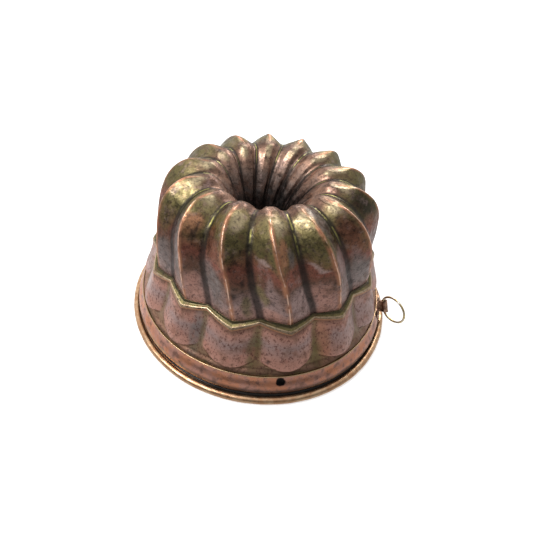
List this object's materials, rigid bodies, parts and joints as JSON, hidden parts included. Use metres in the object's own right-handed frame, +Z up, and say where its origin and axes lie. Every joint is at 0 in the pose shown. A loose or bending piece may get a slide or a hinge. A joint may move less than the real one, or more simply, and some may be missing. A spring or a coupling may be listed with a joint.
{
  "type": "bundt pan",
  "caption": "Fluted copper ring mould with swirled ribs, centre tube, rolled rim and a hanging ring, for baking ring cakes.",
  "frame": {"origin": "middle of the rolled rim's base plane, on the mould's turning axis", "axes": "+Z up through the crown as the mould stands on its rim, +X towards the hanging ring's side, 8 degrees behind the hanger, and the viewer stands at -Y"},
  "size_m": [0.2296, 0.22, 0.1271],
  "materials": {
    "crown_copper": "aged copper with olive and brown patina, worn bright on the crests",
    "skirt_copper": "aged copper, pinkish with dark pitting",
    "band_copper": "aged copper, orange brown, worn bright on the roll",
    "tube_copper": "aged copper, dull",
    "strap_copper": "aged copper, satin",
    "rivet_copper": "hammered copper, satin",
    "braze_brass": "dull brass braze",
    "ring_brass": "drawn brass wire, polished by use",
    "wire_iron": "plain iron wire, closed in the rim"
  },
  "bodies": {
    "mould": {"crown_shell": "crown_copper", "skirt_shell": "skirt_copper", "crown_braze": "braze_brass", "base_collar": "band_copper", "rim_wire": "wire_iron", "centre_tube": "tube_copper", "tube_braze": "braze_brass", "hanger_strap": "strap_copper", "hanger_rivets": "rivet_copper"},
    "ring": {"hanging_ring": "ring_brass"}
  },
  "joints": [
    {"name": "ring_swing", "type": "hinge", "parent": "mould", "child": "ring", "pos_m": [0.10622, -0.01531, 0.01762], "axis": [-0.3017, 0.0435, 0.9524], "range_deg": [-50, 122]}
  ]
}
